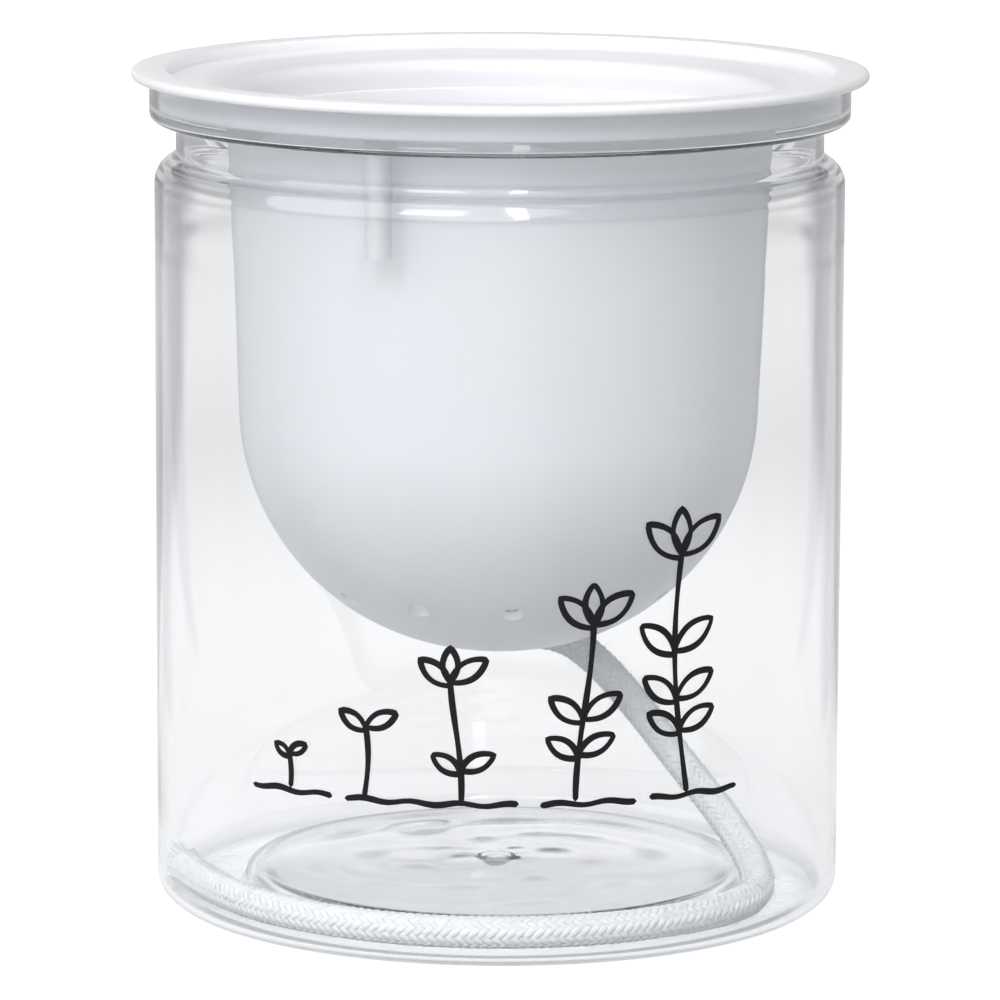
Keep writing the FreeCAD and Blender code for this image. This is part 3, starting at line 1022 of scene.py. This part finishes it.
def makeFloor():
    # pale paper, which camera rays see white, and which the plastic sees with its rings of painted shade
    # and its cards
    side = 4.0
    points = np.array([(-side, -side, 0), (side, -side, 0), (side, side, 0), (-side, side, 0)])
    floor = meshFrom("floor", points, [np.arange(4)[None]])
    material, nodes, links, shader = newMaterial("floorPaper")

    def compute(operation, *values):
        return mathNode(nodes, links, operation, *values)

    def blend(value, fromLow, fromHigh, toLow, toHigh):
        return rangeOf(nodes, links, value, fromLow, fromHigh, toLow, toHigh, True)

    def line(value, start, slope):
        return compute("ADD", compute("MULTIPLY", value, slope), start)

    def ringShade(fromMiddle, radius, halfWidth, depth):
        off = compute("ABSOLUTE", compute("SUBTRACT", fromMiddle, radius * mm))
        return blend(off, 0.3 * halfWidth * mm, halfWidth * mm, depth, 0)

    def distanceFrom(point):
        node = nodes.new("ShaderNodeVectorMath")
        node.operation = "DISTANCE"
        links.new(place, node.inputs[0])
        node.inputs[1].default_value = point
        return node.outputs["Value"]

    place = nodes.new("ShaderNodeTexCoord").outputs["Object"]
    axes = nodes.new("ShaderNodeSeparateXYZ")
    links.new(place, axes.inputs[0])
    y = axes.outputs["Y"]
    distance = distanceFrom((0, 0, 0))
    alongX = compute("ABSOLUTE", axes.outputs["X"])
    alongY = compute("ABSOLUTE", y)
    far = compute("MAXIMUM", alongX, alongY)
    aside = compute("MINIMUM", alongX, alongY)

    strip = compute("MINIMUM", line(far, *studio["stripNear"]), line(far, *studio["stripFar"]))
    card = blend(compute("DIVIDE", aside, strip), *studio["cardEdge"], 0, 1)
    card = compute("MULTIPLY", card, blend(compute("DIVIDE", aside, far), *studio["cardSlant"], 1, 0))
    straightBehind = compute("SUBTRACT", y, alongX)
    strength = blend(straightBehind, *studio["cardTurn"], studio["cardElsewhere"], studio["cardBehind"])
    card = compute("MULTIPLY", card, strength)
    # painted contact shadow: a dark ring in front of the heel, which dims the floor's glow
    inFront = blend(y, *studio["contactShadowFront"], 1, 0)
    contactShadow = compute("MULTIPLY", ringShade(distance, *studio["contactShadow"]), inFront)
    # painted shade on the floor for refracted rays, which the centre disc's side shows as a dark arc in
    # front on the left and right
    atSides = blend(alongX, *studio["riserSides"], 0, 1)
    atSides = compute("MULTIPLY", atSides, blend(y, *studio["riserFront"], 1, 0))
    fromShifted = distanceFrom((0, studio["riserShift"], 0))
    riser = compute("MULTIPLY", atSides, ringShade(fromShifted, *studio["riserShade"]))
    path = nodes.new("ShaderNodeLightPath")
    # from here card also carries the painted riser shade, and refracted rays see both in the card colour
    card = compute("MULTIPLY", compute("MAXIMUM", card, riser), path.outputs["Is Transmission Ray"])
    colour = mixedColours(nodes, links, card, studio["paper"], studio["cardColour"])
    links.new(colour, shader.inputs["Base Color"])
    shader.inputs["Roughness"].default_value = 0.9
    shader.inputs["Specular IOR Level"].default_value = 0.1
    shader.inputs["Emission Color"].default_value = (1, 1, 1, 1)

    nearGlow, farGlow = studio["floorGlow"], studio["floorGlow"] + studio["floorGlowFar"]
    toCamera = blend(distance, *studio["farBlend"], nearGlow, farGlow)
    under = blend(distance, *studio["underBlend"], studio["floorGlowDisc"], studio["floorGlowUnder"])
    under = compute("MULTIPLY", under, blend(distance, *studio["underEnd"], 1, 0))
    behind = blend(distance, *studio["behindBlend"], 0, studio["floorGlowBehind"])
    behind = compute("MULTIPLY", behind, blend(distance, *studio["behindEnd"], 1, 0))
    around = blend(distance, *studio["roundBlend"], studio["floorGlowRound"], 0)
    toPlastic = compute("ADD", under, compute("ADD", behind, studio["floorGlowSeen"]))
    toPlastic = compute("ADD", toPlastic, around)
    seen = compute("MAXIMUM", path.outputs["Is Glossy Ray"], path.outputs["Is Transmission Ray"])
    seen = compute("MULTIPLY", seen, compute("SUBTRACT", 1.0, card))
    glow = compute("MAXIMUM", compute("MULTIPLY", path.outputs["Is Camera Ray"], toCamera),
                   compute("MULTIPLY", seen, toPlastic))
    # the painted contact shadow dims the glow for every ray
    glow = compute("MULTIPLY", glow, compute("SUBTRACT", 1.0, contactShadow))
    links.new(glow, shader.inputs["Emission Strength"])
    floor.data.materials.append(material)


def makeWorld():
    # white for the camera; otherwise dim, with a bright backdrop low behind the planter
    world = bpy.data.worlds.new("studio")
    bpy.context.scene.world = world
    world.use_nodes = True
    nodes, links = world.node_tree.nodes, world.node_tree.links
    background = nodes["Background"]
    background.inputs["Color"].default_value = (1, 1, 1, 1)
    axes = nodes.new("ShaderNodeSeparateXYZ")
    links.new(nodes.new("ShaderNodeTexCoord").outputs["Generated"], axes.inputs[0])
    glow = studio["backdropGlow"]
    low = rangeOf(nodes, links, axes.outputs["Z"], *studio["backdropTop"], 1, 0, True)
    behind = rangeOf(nodes, links, axes.outputs["Y"], *studio["backdropSide"], 0, glow, True)
    backdrop = mathNode(nodes, links, "MULTIPLY", low, behind)
    dim = mathNode(nodes, links, "ADD", backdrop, studio["ambient"])
    camera = nodes.new("ShaderNodeLightPath").outputs["Is Camera Ray"]
    links.new(mathNode(nodes, links, "MAXIMUM", camera, dim), background.inputs["Strength"])


def makeBeam():
    # a narrow beam straight down into the pot, which lights the drain holes from inside
    data = bpy.data.lights.new("potBeam", "SPOT")
    data.energy = studio["beamPower"]
    data.spot_size = 2 * math.atan(studio["beamRadius"] / studio["beamHeight"])
    data.spot_blend = studio["beamBlend"]
    data.shadow_soft_size = studio["beamSoftness"]
    beam = bpy.data.objects.new("potBeam", data)
    bpy.context.scene.collection.objects.link(beam)
    beam.location = (0, 0, studio["beamHeight"])


def makeStudio():
    makeFloor()
    for name, panel in studio["panels"].items():
        softPanel(name, *panel)
    makeBeam()
    makeWorld()
    bpy.context.scene.view_settings.view_transform = "Standard"


makeCamera()
print("camera placed")
makeWick()
print("wick braided")
makeStudio()
print("studio lit")
makeJar()
makePrint()
print("jar turned and printed")
makePot()
print("pot turned and drilled")
